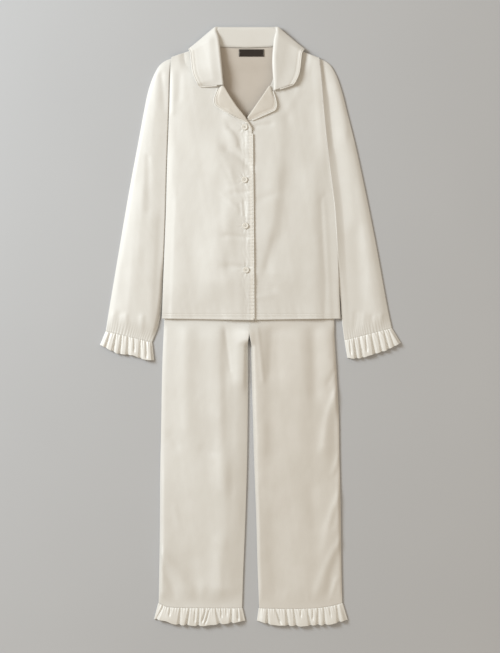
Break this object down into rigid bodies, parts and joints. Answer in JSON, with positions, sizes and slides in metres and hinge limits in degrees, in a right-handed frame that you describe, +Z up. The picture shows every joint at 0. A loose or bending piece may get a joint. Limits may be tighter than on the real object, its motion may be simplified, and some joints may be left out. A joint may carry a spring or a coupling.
{
  "type": "pyjama set",
  "caption": "Satin pyjama set laid flat: a buttoned shirt with notched collar and ruffled cuffs over long trousers with ruffled hems.",
  "frame": {"origin": "middle of the set's outline, on the surface it lies on", "axes": "+Y from the trouser hems to the collar, +X to the wearer's left, +Z up off the surface, out of the shirt's front"},
  "size_m": [0.6025, 1.1998, 0.0229],
  "materials": {
    "satin": "cream satin with a soft sheen",
    "piping": "cream satin cord",
    "button": "pearly cream",
    "label": "plain dark woven tape"
  },
  "bodies": {
    "root": {"shirt_back": "satin", "shirt_front_right": "satin", "shirt_front_left": "satin", "sleeve_right": "satin", "sleeve_left": "satin", "cuff_ruffle_right": "satin", "cuff_ruffle_left": "satin", "collar": "satin", "lapel_right": "satin", "lapel_left": "satin", "piping_collar": "piping", "piping_lapel_right": "piping", "piping_lapel_left": "piping", "piping_front": "piping", "button_1": "button", "button_2": "button", "button_3": "button", "button_4": "button", "neck_label": "label", "waistband": "satin", "leg_front_right": "satin", "leg_front_left": "satin", "leg_back_right": "satin", "leg_back_left": "satin", "hem_ruffle_right": "satin", "hem_ruffle_left": "satin"}
  },
  "joints": []
}
